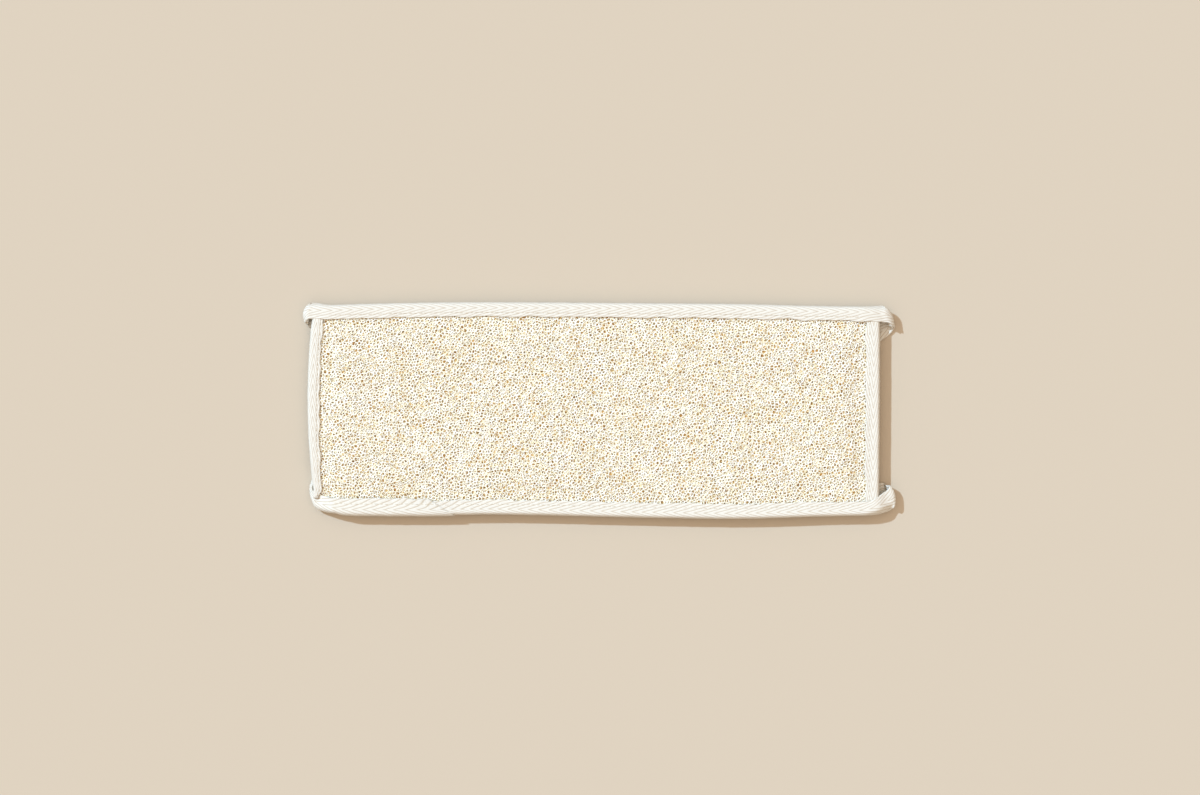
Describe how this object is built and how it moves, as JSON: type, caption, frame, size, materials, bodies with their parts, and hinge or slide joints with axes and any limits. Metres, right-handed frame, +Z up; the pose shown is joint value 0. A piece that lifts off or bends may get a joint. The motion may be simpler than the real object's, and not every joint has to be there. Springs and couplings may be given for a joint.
{
  "type": "natural loofah back scrubber",
  "caption": "Flat rectangular loofah pad bound in cotton tape, with the tape's folded hand loops tucked under the pad.",
  "frame": {"origin": "middle of the part's outline, on the surface it lies on", "axes": "+X along the pad, +Y across it, +Z up out of its upper face"},
  "size_m": [0.376, 0.1366, 0.0129],
  "materials": {
    "loofah_fibre": "dry bleached plant fibre, matt",
    "end_tape": "unbleached cotton herringbone tape",
    "long_tape": "unbleached cotton herringbone tape"
  },
  "bodies": {
    "root": {"loofah_pad": "loofah_fibre", "end_binding_left": "end_tape", "end_binding_right": "end_tape", "edge_tape": "long_tape"}
  },
  "joints": []
}
